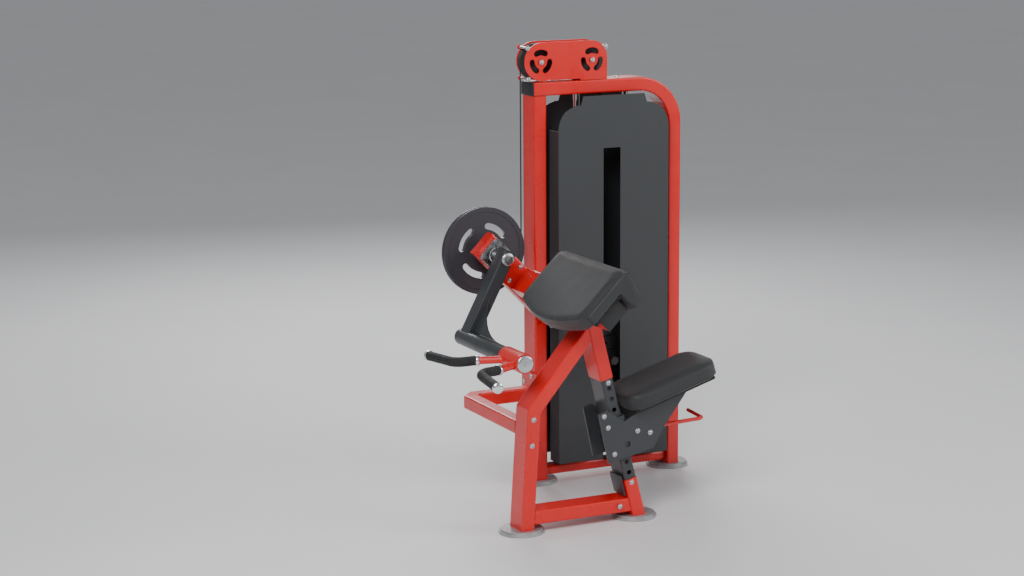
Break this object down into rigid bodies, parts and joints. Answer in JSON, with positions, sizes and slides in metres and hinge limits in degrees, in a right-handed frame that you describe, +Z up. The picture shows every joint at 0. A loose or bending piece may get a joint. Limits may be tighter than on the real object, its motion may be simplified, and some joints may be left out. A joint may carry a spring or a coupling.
{
  "type": "preacher curl machine",
  "caption": "Selectorised arm curl machine: a shrouded weight tower, a sloped arm pad on a frame, a sliding seat and a swinging lever arm with swivelling grips.",
  "frame": {"origin": "centre of the footprint, on the floor", "axes": "+Z up; +X across the weight tower, to the right of a person facing its front; +Y from the exercise station back to the tower"},
  "size_m": [1.2129, 0.9588, 1.644],
  "materials": {
    "red_paint": "glossy powder coat",
    "charcoal_paint": "satin dark grey powder coat",
    "shroud_paint": "smooth satin dark grey sheet",
    "cam_paint": "satin purplish grey paint",
    "stack_steel": "matt black coated steel",
    "bright_steel": "zinc plated",
    "chrome_rod": "polished hard chrome",
    "vinyl": "fine grained dark grey upholstery vinyl over foam",
    "board": "black painted plywood",
    "black_rubber": "matt rubber",
    "pulley_plastic": "matt nylon",
    "foot_steel": "silver grey plate"
  },
  "bodies": {
    "frame": {"left_column": "red_paint", "bent_frame_tube": "red_paint", "tower_base_beam": "red_paint", "pulley_cover_front": "red_paint", "pulley_cover_rear": "red_paint", "frame_upper_leg": "red_paint", "frame_left_leg": "red_paint", "frame_lower_post": "red_paint", "frame_base_beam": "red_paint", "link_tube": "red_paint", "boom": "red_paint", "arm_stop": "red_paint", "pad_beam": "red_paint", "tower_foot_left": "foot_steel", "tower_foot_right": "foot_steel", "station_foot_left": "foot_steel", "station_foot_right": "foot_steel", "front_shroud": "shroud_paint", "rear_shroud": "shroud_paint", "bearing_front": "bright_steel", "bearing_rear": "bright_steel", "pulley_axle_left": "bright_steel", "pulley_axle_right": "bright_steel", "cable_run": "black_rubber", "cable_stack_run": "black_rubber", "stack_bumper_left": "black_rubber", "stack_bumper_right": "black_rubber", "weight_plate_4": "stack_steel", "weight_plate_5": "stack_steel", "weight_plate_6": "stack_steel", "weight_plate_7": "stack_steel", "weight_plate_8": "stack_steel", "weight_plate_9": "stack_steel", "guide_rod_left": "chrome_rod", "guide_rod_right": "chrome_rod", "seat_rail": "charcoal_paint", "pad_board": "board", "arm_pad": "vinyl"},
    "stack": {"head_plate": "bright_steel", "selector_rod": "bright_steel", "weight_plate_1": "stack_steel", "weight_plate_2": "stack_steel", "weight_plate_3": "stack_steel"},
    "pin": {"selector_pin": "black_rubber"},
    "arm": {"pivot_shaft": "bright_steel", "cam_disc": "cam_paint", "lever_arm": "charcoal_paint", "arm_gusset": "charcoal_paint", "cross_tube": "charcoal_paint"},
    "handles": {"handle_bracket": "red_paint", "grip_near": "black_rubber", "grip_far": "black_rubber"},
    "seat": {"seat_pad": "vinyl", "seat_board": "board", "seat_plate_near": "charcoal_paint", "seat_plate_far": "charcoal_paint", "seat_sleeve": "charcoal_paint"},
    "seat_latch": {"seat_lever": "red_paint"},
    "pulley_left": {"top_pulley_left": "pulley_plastic"},
    "pulley_right": {"top_pulley_right": "pulley_plastic"}
  },
  "joints": [
    {"name": "arm_pivot", "type": "hinge", "parent": "frame", "child": "arm", "pos_m": [-0.24135, 0.3864, 0.893], "axis": [0, 1, 0], "range_deg": [0, 120]},
    {"name": "stack_lift", "type": "slide", "parent": "frame", "child": "stack", "axis": [0, 0, 1], "range_m": [0, 0.3205], "deforming": ["cable_stack_run"]},
    {"name": "pulley_left_spin", "type": "hinge", "parent": "frame", "child": "pulley_left", "pos_m": [-0.02855, 0.3864, 1.573], "axis": [0, 1, 0], "range_deg": [-306, 0]},
    {"name": "pulley_right_spin", "type": "hinge", "parent": "frame", "child": "pulley_right", "pos_m": [0.17845, 0.3864, 1.573], "axis": [0, 1, 0], "range_deg": [-306, 0]},
    {"name": "handle_swivel", "type": "hinge", "parent": "arm", "child": "handles", "pos_m": [-0.38775, -0.1926, 0.61296], "axis": [0, 1, 0], "range_deg": [-30, 30]},
    {"name": "seat_slide", "type": "slide", "parent": "frame", "child": "seat", "axis": [-0.247, 0, 0.969], "range_m": [-0.04, 0.08]},
    {"name": "seat_release", "type": "hinge", "parent": "seat", "child": "seat_latch", "pos_m": [0.10345, -0.1926, 0.316], "axis": [0, 1, 0], "range_deg": [-15, 0], "stiffness_Nm_per_rad": 2, "springref_deg": 11.46},
    {"name": "pin_pull", "type": "slide", "parent": "stack", "child": "pin", "axis": [0, -1, 0], "range_m": [0, 0.1]}
  ],
  "couplings": [
    {"joint": "stack_lift", "follows": "arm_pivot", "m_per_rad": 0.1528},
    {"joint": "pulley_left_spin", "follows": "arm_pivot", "ratio": -2.5467},
    {"joint": "pulley_right_spin", "follows": "arm_pivot", "ratio": -2.5467}
  ]
}
